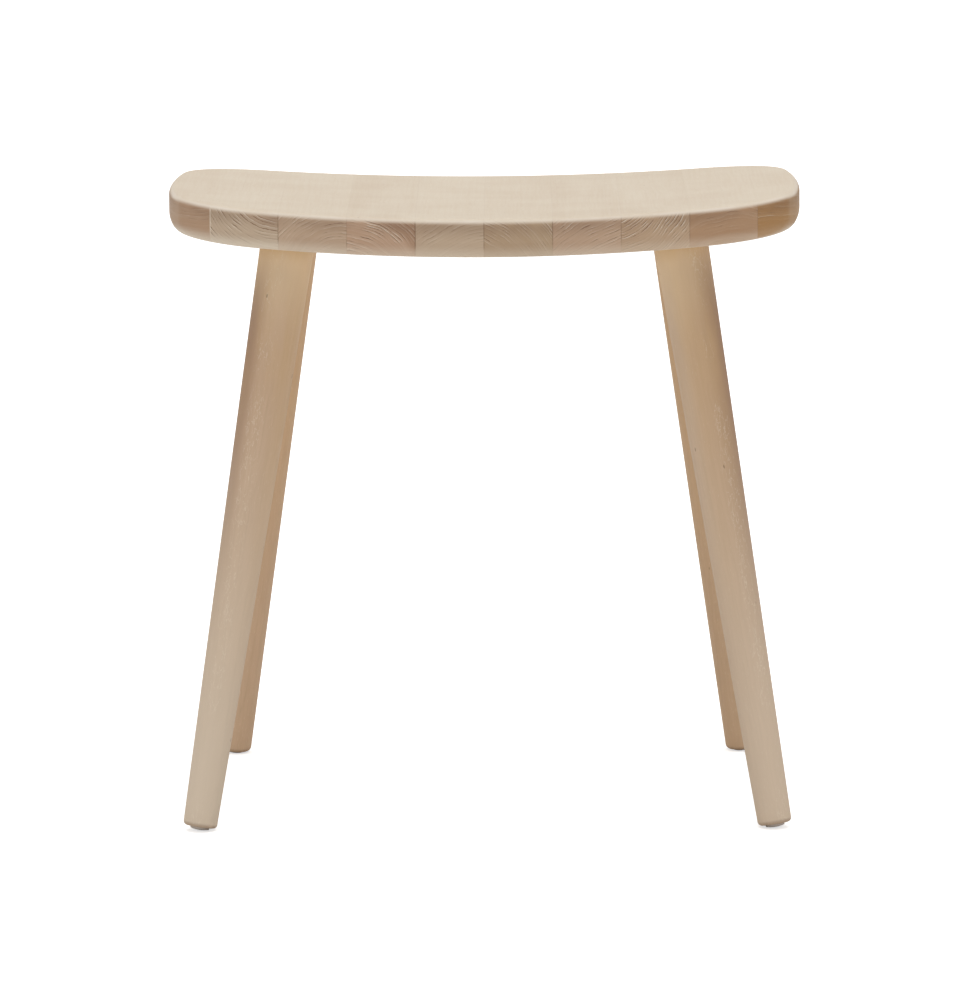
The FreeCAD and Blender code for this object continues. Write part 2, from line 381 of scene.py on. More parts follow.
def growth_rings_group():
    """Year rings round the log's middle, which is the Z axis of the grain coordinate in millimetres.

    The rings wander, differ in width and strength, fade in places and break up into dashes.
    """
    maker, given, result = node_group(
        "growth_rings", "ShaderNodeTree",
        [("Grain", VECTOR), ("Ring Width", NUMBER, 2.5), ("Seed", NUMBER, 0.0)],
        [("Dark", NUMBER), ("Light", NUMBER), ("Year", NUMBER), ("Radius", NUMBER)])
    x, y, z = maker.split(given["Grain"])
    along = maker.times(z, 0.05)
    place = maker.combine(x, y, maker.math("ADD", along, given["Seed"]))
    stray = maker.math("ADD", maker.swing("wander", place, 1.0), maker.swing("shiver", place, 3.0))
    radius = maker.math("ADD", maker.measure("LENGTH", maker.combine(x, y, 0.0)), stray)
    years = maker.math("DIVIDE", radius, given["Ring Width"])
    uneven = maker.noise(maker.combine(maker.times(years, 0.34), given["Seed"], 0.0), detail=1.0)
    years = maker.math("ADD", years, maker.times(uneven, 1.4))
    age = maker.math("FRACT", years)
    number = maker.add("ShaderNodeTexWhiteNoise", {"W": maker.math("FLOOR", years)}, noise_dimensions="1D")
    arc = maker.times(maker.math("ARCTAN2", y, x), radius)
    dashes = maker.combine(maker.times(arc, 0.11), maker.times(years, 0.9), along)
    dashes = maker.noise(dashes, detail=3.0, roughness=0.6)
    strength = maker.times(
        maker.ramp(number.outputs["Value"], 0.0, 1.0, 0.25, 1.0),
        maker.ramp(dashes, 0.40, 0.60, 0.12, 1.0),
        maker.ramp(maker.pattern("faded rings", place), 0.38, 0.58, 0.25, 1.25))
    return finish_group(maker, result, {
        "Dark": maker.times(maker.band(age, *DARK_LINE), strength),
        "Light": maker.times(maker.band(age, *PALE_LINE), strength),
        "Year": number.outputs["Value"],
        "Radius": radius,
    })


def fibres_group():
    """Fine streaks, pores, rays, soft clouds and scattered dark flecks that follow the grain."""
    maker, given, result = node_group(
        "fibres", "ShaderNodeTree",
        [("Grain", VECTOR), ("Seed", NUMBER, 0.0)],
        [(name, NUMBER) for name in ("Streak", "Pore", "Fleck", "Cloud", "Ray", "Speckle")])
    place = maker.vector("ADD", given["Grain"], maker.combine(given["Seed"], given["Seed"], given["Seed"]))
    swerve = maker.swing("swerve", place, 1.0)
    place = maker.vector("ADD", place, maker.combine(swerve, swerve, 0.0))
    return finish_group(maker, result, {
        "Streak": maker.ramp(maker.pattern("streak", place, 4.0, 0.60), 0.32, 0.70),
        "Pore": maker.ramp(maker.pattern("pore", place, 2.0, 0.6), 0.56, 0.74),
        "Fleck": spots(maker, "fleck", place, (0.030, 0.060), 0.70),
        "Cloud": maker.ramp(maker.pattern("cloud", place, 3.0), 0.30, 0.70),
        "Ray": spots(maker, "ray", place, (0.10, 0.26), 0.50),
        "Speckle": maker.pattern("speckle", place, 3.0, 0.7),
    })


def spots(maker, name, place, size, share):
    """Small scattered spots with a soft edge, one in this share of the cells that PATTERNS gives."""
    cells = maker.add("ShaderNodeTexVoronoi", {
        "Vector": maker.vector("MULTIPLY", place, PATTERNS[name]), "Scale": 1.0, "Randomness": 1.0})
    spot = maker.ramp(cells.outputs["Distance"], *size, 1.0, 0.0)
    return maker.times(spot, maker.math("LESS_THAN", maker.split(cells.outputs["Color"])[0], share))


def wood_group(rings, fibres):
    """Colours, roughness and height of bare wood, on its long grain and on its cut ends."""
    maker, given, result = node_group(
        "soaped_wood", "ShaderNodeTree",
        [("Grain", VECTOR), ("Grain Direction", VECTOR, (0.0, 1.0, 0.0)),
         ("Ring Width", NUMBER, 2.5), ("Ring Strength", NUMBER, 0.8),
         ("Grain Strength", NUMBER, 1.0), ("Seed", NUMBER, 0.0),
         ("Tint", VECTOR, (1.0, 1.0, 1.0)), ("Heartwood Share", NUMBER, 0.3),
         ("Pale", COLOUR), ("Shade", COLOUR), ("End Grain", COLOUR), ("Heartwood", COLOUR),
         ("Ring Dark", COLOUR), ("Ring Pale", COLOUR), ("Roughness", NUMBER, 0.55)],
        [("Long Grain", COLOUR), ("Cut End", COLOUR), ("End Mask", NUMBER), ("Fleck", NUMBER),
         ("Radius", NUMBER), ("Roughness", NUMBER), ("Height", NUMBER)])
    ring = maker.add("ShaderNodeGroup", {
        name: given[name] for name in ("Grain", "Ring Width", "Seed")}, node_tree=rings).outputs
    fibre = maker.add("ShaderNodeGroup", {
        name: given[name] for name in ("Grain", "Seed")}, node_tree=fibres).outputs
    normal = maker.add("ShaderNodeTexCoord").outputs["Normal"]
    facing = maker.measure("DOT_PRODUCT", normal, given["Grain Direction"])
    end = maker.ramp(maker.math("ABSOLUTE", facing), 0.10, 0.50)

    def laid_over(under, layers):
        """A colour with others laid over it in turn, where their masks are, as strongly as SHARES says."""
        for mask, share, over in layers:
            under = maker.blend(maker.times(mask, SHARES[share]), under, given[over])
        return under

    cut = maker.blend(given["Heartwood Share"], given["End Grain"], given["Heartwood"])
    cut = laid_over(maker.vector("MULTIPLY", cut, given["Tint"]), (
        (fibre["Speckle"], "speckle", "Heartwood"),
        (ring["Year"], "year", "Ring Pale"),
        (maker.times(ring["Light"], given["Ring Strength"]), "pale line", "Ring Pale"),
        (maker.times(ring["Dark"], given["Ring Strength"]), "dark line", "Ring Dark")))
    long = laid_over(given["Pale"], (
        (maker.times(fibre["Cloud"], given["Heartwood Share"]), "cloud", "Heartwood"),
        (maker.times(fibre["Streak"], given["Grain Strength"]), "streak", "Shade"),
        (maker.times(ring["Dark"], given["Grain Strength"]), "ring", "Shade"),
        (maker.times(fibre["Ray"], given["Grain Strength"]), "ray", "Ring Pale"),
        (maker.times(fibre["Pore"], given["Grain Strength"]), "pore", "Shade")))

    rough = maker.math("ADD", given["Roughness"], maker.times(fibre["Streak"], 0.14))
    rough = maker.math("ADD", rough, maker.times(end, 0.12))
    height = maker.math("SUBTRACT", maker.times(fibre["Streak"], 0.5), fibre["Pore"])
    height = maker.math("ADD", height, maker.times(ring["Dark"], end, 1.2))
    return finish_group(maker, result, {
        "Long Grain": long, "Cut End": cut, "End Mask": end, "Fleck": fibre["Fleck"],
        "Radius": ring["Radius"], "Roughness": rough, "Height": height})


def seat_place_group():
    """Where a point of a stave lies: its depth below the dished top, and how close to its glue joints."""
    maker, given, result = node_group(
        "seat_place", "ShaderNodeTree",
        [("Position", VECTOR), ("Middle Height", NUMBER, 450.0),
         ("Dish Radius", NUMBER, 2100.0), ("Stave Centre", NUMBER, 0.0),
         ("Stave Width", NUMBER, 50.0), ("Line Width", NUMBER, 0.6)],
        [("Depth", NUMBER), ("Left Joint", NUMBER), ("Right Joint", NUMBER)])
    x, _, z = maker.split(given["Position"])
    centre = maker.math("ADD", given["Middle Height"], given["Dish Radius"])
    over = maker.math("SUBTRACT", maker.math("POWER", given["Dish Radius"], 2.0), maker.math("POWER", x, 2.0))
    top = maker.math("SUBTRACT", centre, maker.math("SQRT", over))
    outputs = {"Depth": maker.math("SUBTRACT", top, z)}
    patchy = maker.ramp(maker.pattern("glue", given["Position"]), 0.30, 0.58, 0.35, 1.0)
    half = maker.times(given["Stave Width"], 0.5)
    thin = maker.times(given["Line Width"], 0.3)
    for label, step in (("Left Joint", "SUBTRACT"), ("Right Joint", "ADD")):
        joint = maker.math(step, given["Stave Centre"], half)
        distance = maker.math("ABSOLUTE", maker.math("SUBTRACT", x, joint))
        outputs[label] = maker.times(maker.ramp(distance, thin, given["Line Width"], 1.0, 0.0), patchy)
    return finish_group(maker, result, outputs)


def new_material(name):
    """An empty material with its Principled shader, and the maker that fills it."""
    material = bpy.data.materials.new(name)
    material.use_nodes = True
    maker = NodeMaker(material.node_tree)
    return material, maker, material.node_tree.nodes["Principled BSDF"]


def wood_outputs(maker, coordinate, mapping, seed, cut, feeds):
    """The wood group's outputs for one piece, with the grain along the mapped coordinate's Z axis."""
    wood = bpy.context.scene.stool_wood
    grain = maker.add("ShaderNodeMapping", {"Vector": coordinate, **mapping})
    return maker.add("ShaderNodeGroup", {
        "Grain": grain.outputs[0], "Ring Width": cut["ring"], "Seed": seed, "Tint": cut["tint"],
        "Heartwood Share": cut["heartwood"], "Shade": wood.shade, "End Grain": wood.end_grain,
        "Heartwood": wood.heartwood, "Ring Dark": wood.ring_dark, "Ring Pale": wood.ring_pale,
        "Roughness": wood.roughness, **feeds}, node_tree=bpy.data.node_groups["soaped_wood"]).outputs


def finish_wood(maker, shader, colour, wood):
    """Feeds a piece's colour and the wood group's roughness and height to its shader."""
    settings = bpy.context.scene.stool_wood
    maker.feed(shader.inputs["Base Color"], colour)
    maker.feed(shader.inputs["Roughness"], wood["Roughness"])
    bump = maker.add("ShaderNodeBump", {
        "Height": wood["Height"], "Strength": settings.grain_relief, "Distance": settings.grain_height})
    maker.feed(shader.inputs["Normal"], bump.outputs[0])
    shader.inputs["Specular IOR Level"].default_value = WOOD_GLOSS


def object_coordinate(maker):
    return maker.add("ShaderNodeTexCoord").outputs["Object"]


def leg_coordinate(maker):
    return maker.add("ShaderNodeAttribute", attribute_name="leg_coordinate").outputs["Vector"]


def in_millimetres(maker, coordinate):
    return maker.vector("MULTIPLY", coordinate, (1 / MM, 1 / MM, 1 / MM))


def stave_material(number, cut):
    """The wood of one stave, whose grain runs from front to rear.

    Its cut ends carry painted shade under the top edge and are paler low down, partly from paler wood and
    partly as painted light from the floor. Its upright long-grain ends take painted shade, its rounded top
    edge a painted highlight, and its joints show as thin lines.
    """
    seat = bpy.context.scene.stool_seat
    colours = bpy.context.scene.stool_wood
    centre_x = (number - 0.5 - len(STAVE_CUTS) / 2) * seat.stave_width
    dish = seat.dish_radius - math.sqrt(seat.dish_radius ** 2 - centre_x ** 2)
    centre_z = seat.middle_height + dish - seat.thickness / 2
    mapping = {
        "Scale": (1 / MM, 1 / MM, 1 / MM),
        "Rotation": (math.radians(-90), 0.0, 0.0),
        "Location": (-centre_x / MM - cut["pith"][0], -centre_z / MM - cut["pith"][1], 0.0),
    }
    material, maker, shader = new_material(f"stave_wood_{number:02d}")
    position = in_millimetres(maker, object_coordinate(maker))
    place = maker.add("ShaderNodeGroup", {
        "Position": position, "Middle Height": seat.middle_height / MM,
        "Dish Radius": seat.dish_radius / MM, "Stave Centre": centre_x / MM,
        "Stave Width": seat.stave_width / MM}, node_tree=bpy.data.node_groups["seat_place"]).outputs

    def by_depth(name, above, below):
        return maker.ramp(place["Depth"], *STAVE_DEPTHS[name], above, below)

    wood = wood_outputs(maker, object_coordinate(maker), mapping, number * 37.3, cut, {
        "Grain Direction": (0.0, 1.0, 0.0), "Pale": colours.seat_pale,
        "Ring Strength": by_depth("rings fade", cut["strength"], 0.30 * cut["strength"])})
    upward = maker.math("ABSOLUTE", maker.split(maker.add("ShaderNodeTexCoord").outputs["Normal"])[2])
    # Painted shade: every upright face of the seat, its long-grain ends too, takes most of the darker cut-end
    # colour.
    side = maker.ramp(upward, 0.35, 0.85, 0.85, 0.0)
    end = maker.times(maker.math("MAXIMUM", wood["End Mask"], side), by_depth("cut end comes", 0.0, 1.0))
    patch = maker.pattern("stave patch", position)
    blotch = maker.ramp(maker.pattern("stave blotch", position), 0.35, 0.65)

    # Painted shade: the cut ends are darker, in patches, just under the rounded top edge.
    high = maker.times(by_depth("painted shade goes", 1.0, 0.0), maker.ramp(patch, 0.30, 0.60, 0.35, 1.0))
    # Paler low down on the cut ends: partly paler wood, partly painted light from the floor.
    low = by_depth("pale wood and floor light come", 0.0, 1.0)
    cut_end = maker.blend(maker.ramp(wood["Radius"], *cut["core"]), wood["Cut End"], colours.core)
    cut_end = maker.blend(maker.times(high, SHARES["painted shade under the edge"]), cut_end, colours.ring_dark)
    cut_end = maker.blend(maker.times(low, cut["paling_and_floor_light"]), cut_end, colours.seat_pale)

    # Painted highlight, in patches, along the seat's rounded top edge.
    edge = maker.times(maker.band(place["Depth"], *EDGE_HIGHLIGHT), maker.ramp(patch, 0.35, 0.65, 0.20, 0.60))
    colour = maker.blend(maker.times(blotch, SHARES["stave blotch"]), wood["Long Grain"], colours.heartwood)
    colour = maker.blend(edge, colour, colours.edge_highlight)
    colour = maker.blend(end, colour, cut_end)
    colour = maker.blend(maker.times(wood["Fleck"], SHARES["stave fleck"]), colour, colours.ring_dark)
    shown = maker.times(maker.ramp(end, 0.0, 1.0, 0.06, 1.0), by_depth("glue lines fade", 1.0, 0.12))
    for joint, strength in (("Left Joint", glue_joint(number - 1)), ("Right Joint", glue_joint(number))):
        line = maker.times(place[joint], shown, abs(strength))
        colour = maker.blend(line, colour, colours.ring_dark if strength > 0 else colours.ring_pale)
    finish_wood(maker, shader, colour, wood)
    return material


def glue_joint(number):
    """How the joint to the right of this stave shows, or zero where the seat ends."""
    return GLUE_JOINTS[number - 1] if 0 < number <= len(GLUE_JOINTS) else 0.0


def leg_material(corner, seed, upward):
    """The wood of one leg: painted warm shade under the seat, painted light at its top and towards its foot,
    painted shade high on its sides, fine wavy figure and a few flecks.
    """
    colours = bpy.context.scene.stool_wood
    cut = LEG_CUTS[corner]
    mapping = {
        "Scale": (1 / MM, 1 / MM, 1 / MM),
        "Rotation": tuple(math.radians(angle) for angle in cut["lean"]) + (0.0,),
        "Location": (-cut["pith"][0], -cut["pith"][1], 0.0),
    }
    material, maker, shader = new_material(f"leg_wood_{corner}")
    wood = wood_outputs(maker, leg_coordinate(maker), mapping, seed, cut, {
        "Grain Direction": tuple(upward), "Ring Strength": 0.5, "Grain Strength": colours.leg_grain,
        "Pale": colours.leg_pale})
    position = in_millimetres(maker, leg_coordinate(maker))
    height = maker.split(position)[2]
    patch = maker.pattern("leg patch", position, 3.0)

    def by_height(name, below=0.0, above=1.0):
        return maker.ramp(height, *LEG_HEIGHTS[name], below, above)

    colour = maker.vector("MULTIPLY", wood["Long Grain"], cut["tint"])
    # Painted light: the leg's top, in the seat's shade, is made paler and yellower, in patches.
    painted_top_light = maker.ramp(patch, 0.30, 0.60, 0.60 * cut["top_light"], 0.90 * cut["top_light"])
    colour = maker.blend(maker.times(by_height("top light comes"), painted_top_light), colour, colours.top_light)
    side_shade_band = maker.band(height, *SIDE_SHADE_HEIGHTS, cut["top"])
    # Painted shade high on the leg's sides, in the colours listed, and painted light on the front right leg's
    # inner side.
    for heading, share, tone in cut["sides"]:
        column = maker.ramp(to_side(maker, position, heading), 0.30, 0.98)
        column = maker.times(column, side_shade_band, maker.ramp(patch, 0.25, 0.55, 0.6 * share, share))
        colour = maker.blend(column, colour, getattr(colours, tone))
    # Painted warm shade with bounce light from the seat: in patches up the leg and in a band just under the
    # seat.
    warm_shade = maker.times(maker.ramp(patch, 0.45, 0.66), by_height("warm shade comes", 0.10, 0.70))
    uneven = maker.math("ADD", height, maker.times(patch, 40.0))
    band = maker.ramp(uneven, *LEG_HEIGHTS["warm shade under the seat"])
    warm_shade = maker.times(maker.math("MAXIMUM", warm_shade, band), cut["warm"])
    colour = maker.blend(warm_shade, colour, colours.warm_shade)
    # Painted light from the floor: the leg gets paler down towards its foot.
    foot = maker.times(by_height("floor light goes", 1.0, 0.0), cut["paling_and_floor_light"])
    colour = maker.blend(foot, colour, colours.seat_pale)
    rim = maker.times(by_height("grey rim goes", 1.0, 0.0), maker.ramp(patch, 0.35, 0.60, 0.35, 1.0))
    for mask, share, over in (
            (wavy_figure(maker, position, cut["figure"]), "ripple", colours.ring_pale),
            (wood["Fleck"], "leg fleck", colours.ring_dark),
            (rim, "rim", colours.ring_dark),
            (wood["End Mask"], "leg end", wood["Cut End"])):
        colour = maker.blend(maker.times(mask, SHARES[share]), colour, over)
    finish_wood(maker, shader, colour, wood)
    return material


def to_side(maker, position, heading):
    """How far a leg's surface faces one side: this many degrees to the right of its front."""
    turn = math.radians(heading)
    outward = maker.vector("NORMALIZE", maker.vector("MULTIPLY", position, (1.0, 1.0, 0.0)))
    return maker.measure("DOT_PRODUCT", outward, (math.sin(turn), -math.cos(turn), 0.0))


def wavy_figure(maker, position, heading):
    """Thin wavy marks in a column down one side of a leg."""
    ripple = maker.math("SUBTRACT", maker.pattern("ripple", position, 3.0), 0.5)
    line = maker.ramp(maker.math("ABSOLUTE", ripple), 0.004, 0.020, 1.0, 0.0)
    gaps = maker.ramp(maker.pattern("ripple gaps", position, 1.0), 0.36, 0.56)
    return maker.times(line, maker.ramp(to_side(maker, position, heading), 0.90, 0.985), gaps)


def leg_place(corner):
    """The centre of a leg's foot and its direction up to the seat, in metres."""
    seat = bpy.context.scene.stool_seat
    legs = bpy.context.scene.stool_legs
    side, end = CORNERS[corner]
    x = side * (seat.length / 2 - legs.inset_from_end)
    y = end * (seat.depth / 2 - legs.inset_from_side)
    outer = seat.dish_radius + seat.thickness
    top = Vector((x, y, seat.middle_height + seat.dish_radius - math.sqrt(outer ** 2 - x ** 2)))
    sideways = legs.front_angle if end < 0 else legs.rear_angle
    upward = Vector((-side * math.tan(sideways), -end * math.tan(legs.fore_angle), 1.0)).normalized()
    height = legs.dome_radius - legs.dome_flat - upward.z * (legs.dome_radius - legs.glide_height)
    foot = top - upward * ((top.z - height) / upward.z)
    return foot, upward, (top - foot).length + legs.housing_depth


class ShapeMaker(NodeMaker):
    """Adds the nodes that both turned shapes need."""

    def point_line(self, count):
        """A curve of this many points, to be put in their places one by one."""
        line = self.add("GeometryNodeMeshLine", {"Count": count})
        return self.add("GeometryNodeMeshToCurve", {"Mesh": line.outputs[0]}).outputs[0]

    def choose(self, index, places):
        """The place, out of a list of them, that has this index."""
        switch = self.add("GeometryNodeIndexSwitch", data_type="VECTOR")
        while len(switch.index_switch_items) < len(places):
            switch.index_switch_items.new()
        self.feed(switch.inputs["Index"], index)
        for socket, place in zip(list(switch.inputs)[1:], places):
            self.feed(socket, place)
        return switch.outputs[0]

    def spin(self, profile, sides):
        """Turns a profile of (radius, 0, height) points about the Z axis into a closed mesh."""
        points = self.add("GeometryNodeAttributeDomainSize", {0: profile}, component="CURVE")
        points = points.outputs["Point Count"]
        columns = self.math("ADD", sides, 1)
        grid = self.add("GeometryNodeMeshGrid", {"Vertices X": columns, "Vertices Y": points})
        index = self.add("GeometryNodeInputIndex").outputs[0]
        column = self.math("FLOOR", self.math("DIVIDE", index, points))
        row = self.math("SUBTRACT", index, self.times(column, points))
        place = self.add("GeometryNodeInputPosition").outputs[0]
        sample = self.add("GeometryNodeSampleIndex", {"Geometry": profile, "Value": place, "Index": row},
                          data_type="FLOAT_VECTOR", domain="POINT")
        radius, _, height = self.split(sample.outputs[0])
        turn = self.times(self.math("DIVIDE", column, sides), math.tau)
        x = self.times(radius, self.math("COSINE", turn))
        y = self.times(radius, self.math("SINE", turn))
        spun = self.add("GeometryNodeSetPosition",
                        {"Geometry": grid.outputs["Mesh"], "Position": self.combine(x, y, height)})
        feeds = {"Geometry": spun.outputs[0], "Distance": WELD_DISTANCE}
        return self.add("GeometryNodeMergeByDistance", feeds).outputs[0]

    def stand(self, mesh, foot, upward):
        """Tilts a turned mesh to a leg's direction and sets it down at the leg's foot."""
        tilt = self.add("FunctionNodeAlignRotationToVector", {"Vector": upward}, axis="Z").outputs[0]
        stood = {"Geometry": mesh, "Translation": foot, "Rotation": tilt}
        return self.add("GeometryNodeTransform", stood).outputs[0]

    def deliver(self, mesh, material, result):
        """Shades a finished mesh and gives it its material."""
        angle = self.add("GeometryNodeInputMeshEdgeAngle").outputs["Unsigned Angle"]
        soft = self.math("LESS_THAN", angle, SHARP_ANGLE)
        smooth = self.add("GeometryNodeSetShadeSmooth", {"Geometry": mesh})
        smooth = self.add("GeometryNodeSetShadeSmooth",
                          {"Geometry": smooth.outputs[0], "Shade Smooth": soft}, domain="EDGE")
        real = self.add("GeometryNodeRealizeInstances", {"Geometry": smooth.outputs[0]})
        painted = self.add("GeometryNodeSetMaterial", {"Geometry": real.outputs[0], "Material": material})
        self.feed(result.inputs[0], painted.outputs[0])


def leg_tree():
    """A turned leg: a rounded foot edge, a straight taper, the shoulder and the tenon."""
    group, given, result = node_group(
        "turned_leg", "GeometryNodeTree",
        [("Foot Radius", NUMBER, 0.0125), ("Top Radius", NUMBER, 0.02),
         ("Foot Edge", NUMBER, 0.003), ("Shoulder", NUMBER, 0.44),
         ("Tenon Radius", NUMBER, 0.012), ("Tenon Length", NUMBER, 0.016),
         ("Sides", "NodeSocketInt", 96), ("Foot Centre", VECTOR),
         ("Upward", VECTOR, (0.0, 0.0, 1.0)), ("Material", "NodeSocketMaterial")],
        [("Leg", "NodeSocketGeometry")])
    maker = ShapeMaker(group.tree)
    tenon_end = maker.math("ADD", given["Shoulder"], given["Tenon Length"])
    corners = [
        maker.combine(0.0, 0.0, 0.0),
        maker.combine(given["Foot Radius"], 0.0, 0.0),
        maker.combine(given["Top Radius"], 0.0, given["Shoulder"]),
        maker.combine(given["Tenon Radius"], 0.0, given["Shoulder"]),
        maker.combine(given["Tenon Radius"], 0.0, tenon_end),
        maker.combine(0.0, 0.0, tenon_end),
    ]
    index = maker.add("GeometryNodeInputIndex").outputs[0]
    profile = maker.add("GeometryNodeSetPosition", {
        "Geometry": maker.point_line(len(corners)), "Position": maker.choose(index, corners)})
    is_foot_edge = maker.math("COMPARE", index, 1.0, 0.5)
    cuts = maker.times(is_foot_edge, TAPER_CUTS)
    divided = maker.add("GeometryNodeSubdivideCurve", {"Curve": profile.outputs[0], "Cuts": cuts})
    radius = maker.times(is_foot_edge, given["Foot Edge"])
    eased = maker.add("GeometryNodeFilletCurve", {
        "Curve": divided.outputs[0], "Count": EDGE_STEPS, "Radius": radius}, mode="POLY")
    leg = maker.spin(eased.outputs[0], given["Sides"])
    place = maker.add("GeometryNodeInputPosition").outputs[0]
    stored = maker.add("GeometryNodeStoreNamedAttribute", {
        "Geometry": leg, "Name": "leg_coordinate", "Value": place}, data_type="FLOAT_VECTOR", domain="POINT")
    stood = maker.stand(stored.outputs[0], given["Foot Centre"], given["Upward"])
    maker.deliver(stood, given["Material"], result)
    return group.tree


def glide_tree():
    """A domed glide on the leg's end, flat where it meets the floor."""
    group, given, result = node_group(
        "domed_glide", "GeometryNodeTree",
        [("Radius", NUMBER, 0.007), ("Height", NUMBER, 0.0025),
         ("Dome Radius", NUMBER, 0.025), ("Rings", "NodeSocketInt", 18),
         ("Sides", "NodeSocketInt", 96), ("Foot Centre", VECTOR),
         ("Upward", VECTOR, (0.0, 0.0, 1.0)), ("Material", "NodeSocketMaterial")],
        [("Glide", "NodeSocketGeometry")])
    maker = ShapeMaker(group.tree)
    index = maker.add("GeometryNodeInputIndex").outputs[0]
    last = maker.math("SUBTRACT", given["Rings"], 1)
    reach = maker.math("ARCSINE", maker.math("DIVIDE", given["Radius"], given["Dome Radius"]))
    turn = maker.times(reach, maker.math("DIVIDE", index, last))
    x = maker.times(given["Dome Radius"], maker.math("SINE", turn))
    sink = maker.math("SUBTRACT", 1.0, maker.math("COSINE", turn))
    z = maker.math("SUBTRACT", maker.times(given["Dome Radius"], sink), given["Height"])
    after = maker.math("MAXIMUM", maker.math("SUBTRACT", index, last), 0.0)
    corners = [
        maker.combine(x, 0.0, z),
        maker.combine(given["Radius"], 0.0, 0.0),
        maker.combine(0.0, 0.0, 0.0),
    ]
    profile = maker.add("GeometryNodeSetPosition", {
        "Geometry": maker.point_line(maker.math("ADD", given["Rings"], 2)),
        "Position": maker.choose(after, corners)})
    glide = maker.stand(maker.spin(profile.outputs[0], given["Sides"]), given["Foot Centre"], given["Upward"])
    px, py, pz = maker.split(maker.add("GeometryNodeInputPosition").outputs[0])
    worn = maker.add("GeometryNodeSetPosition", {
        "Geometry": glide, "Position": maker.combine(px, py, maker.math("MAXIMUM", pz, 0.0))})
    maker.deliver(worn.outputs[0], given["Material"], result)
    return group.tree


def grow(name, tree, values, material):
    """Runs a geometry tree with these named inputs and keeps its result as a plain mesh object."""
    holder = bpy.data.objects.new(name, bpy.data.meshes.new(name))
    bpy.context.scene.collection.objects.link(holder)
    modifier = holder.modifiers.new(name, "NODES")
    modifier.node_group = tree
    for item in tree.interface.items_tree:
        if item.item_type == "SOCKET" and item.in_out == "INPUT" and item.name in values:
            modifier[item.identifier] = values[item.name]
        if item.item_type == "SOCKET" and item.name == "Material":
            modifier[item.identifier] = material
    ready = holder.evaluated_get(bpy.context.evaluated_depsgraph_get())
    mesh = bpy.data.meshes.new_from_object(ready)
    holder.modifiers.remove(modifier)
    holder.data = mesh
    mesh.name = name
    return holder


class STOOL_OT_staves(bpy.types.Operator):
    """Give each stave of the seat its own piece of wood"""

    bl_idname = "stool.staves"
    bl_label = "Seat staves"

    def execute(self, context):
        for number, cut in enumerate(STAVE_CUTS, start=1):
            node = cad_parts[f"seat_stave_{number:02d}"]
            node.data.materials.clear()
            node.data.materials.append(stave_material(number, cut))
        return {"FINISHED"}


class STOOL_OT_legs(bpy.types.Operator):
    """Turn the four legs, each with its own grain"""

    bl_idname = "stool.legs"
    bl_label = "Legs"

    def execute(self, context):
        legs = context.scene.stool_legs
        tree = leg_tree()
        for seed, corner in enumerate(CORNERS):
            foot, upward, shoulder = leg_place(corner)
            material = leg_material(corner, seed * 91.7, upward)
            piece = grow(f"{corner}_leg_turned", tree, {
                "Foot Radius": legs.foot_radius, "Top Radius": legs.top_radius, "Foot Edge": legs.foot_edge,
                "Shoulder": shoulder, "Tenon Radius": legs.tenon_radius, "Tenon Length": legs.tenon_length,
                "Sides": legs.sides, "Foot Centre": foot, "Upward": upward}, material)
            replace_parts(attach(piece, BODY), f"{corner}_leg")
        return {"FINISHED"}


class STOOL_OT_glides(bpy.types.Operator):
    """Put a domed glide and its nail under each leg"""

    bl_idname = "stool.glides"
    bl_label = "Glides"

    def execute(self, context):
        legs = context.scene.stool_legs
        tree = glide_tree()
        nylon = nylon_material()
        steel = steel_material()
        for corner in CORNERS:
            foot, upward, _ = leg_place(corner)
            piece = grow(f"{corner}_glide_domed", tree, {
                "Radius": legs.glide_radius, "Height": legs.glide_height, "Dome Radius": legs.dome_radius,
                "Sides": legs.sides, "Foot Centre": foot, "Upward": upward}, nylon)
            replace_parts(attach(piece, BODY), f"{corner}_glide")
            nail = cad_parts[f"{corner}_glide_nail"]
            nail.data.materials.clear()
            nail.data.materials.append(steel)
        return {"FINISHED"}


def nylon_material():
    """Grey nylon, scuffed where it has slid over the floor."""
    material, maker, shader = new_material("glide_nylon")
    place = object_coordinate(maker)
    scuffs = maker.pattern("scuffs", place, 4.0)
    low = maker.ramp(maker.split(place)[2], 0.0, 0.0015, 1.0, 0.0)
    worn = maker.times(maker.ramp(scuffs, 0.45, 0.65), low)
    maker.feed(shader.inputs["Base Color"], maker.blend(worn, NYLON_GREY, NYLON_SCUFFED))
    maker.feed(shader.inputs["Roughness"], maker.ramp(worn, 0.0, 1.0, 0.42, 0.75))
    bump = maker.add("ShaderNodeBump", {"Height": scuffs, "Strength": 0.2, "Distance": 0.0001})
    maker.feed(shader.inputs["Normal"], bump.outputs[0])
    return material


def steel_material():
    """Drawn steel wire with fine marks round it."""
    material, maker, shader = new_material("nail_steel")
    marks = maker.pattern("wire marks", object_coordinate(maker), 3.0)
    maker.feed(shader.inputs["Base Color"], maker.blend(marks, STEEL_DULL, STEEL_BRIGHT))
    maker.feed(shader.inputs["Roughness"], maker.ramp(marks, 0.3, 0.7, 0.28, 0.45))
    shader.inputs["Metallic"].default_value = 1.0
    return material


class STOOL_OT_studio(bpy.types.Operator):
    """Lay the white floor, hang the soft boxes and set up the camera"""

    bl_idname = "stool.studio"
    bl_label = "Studio"

    def execute(self, context):
        studio = context.scene.stool_studio
        lay_floor(studio)
        light_room(studio)
        place_camera(studio)
        context.scene.view_settings.view_transform = "Standard"
        return {"FINISHED"}


def seen_by(maker, *rays):
    """One for these kinds of ray, and zero for the light that falls on the stool."""
    path = maker.add("ShaderNodeLightPath").outputs
    seen = path[rays[0]]
    for ray in rays[1:]:
        seen = maker.math("MAXIMUM", seen, path[ray])
    return seen


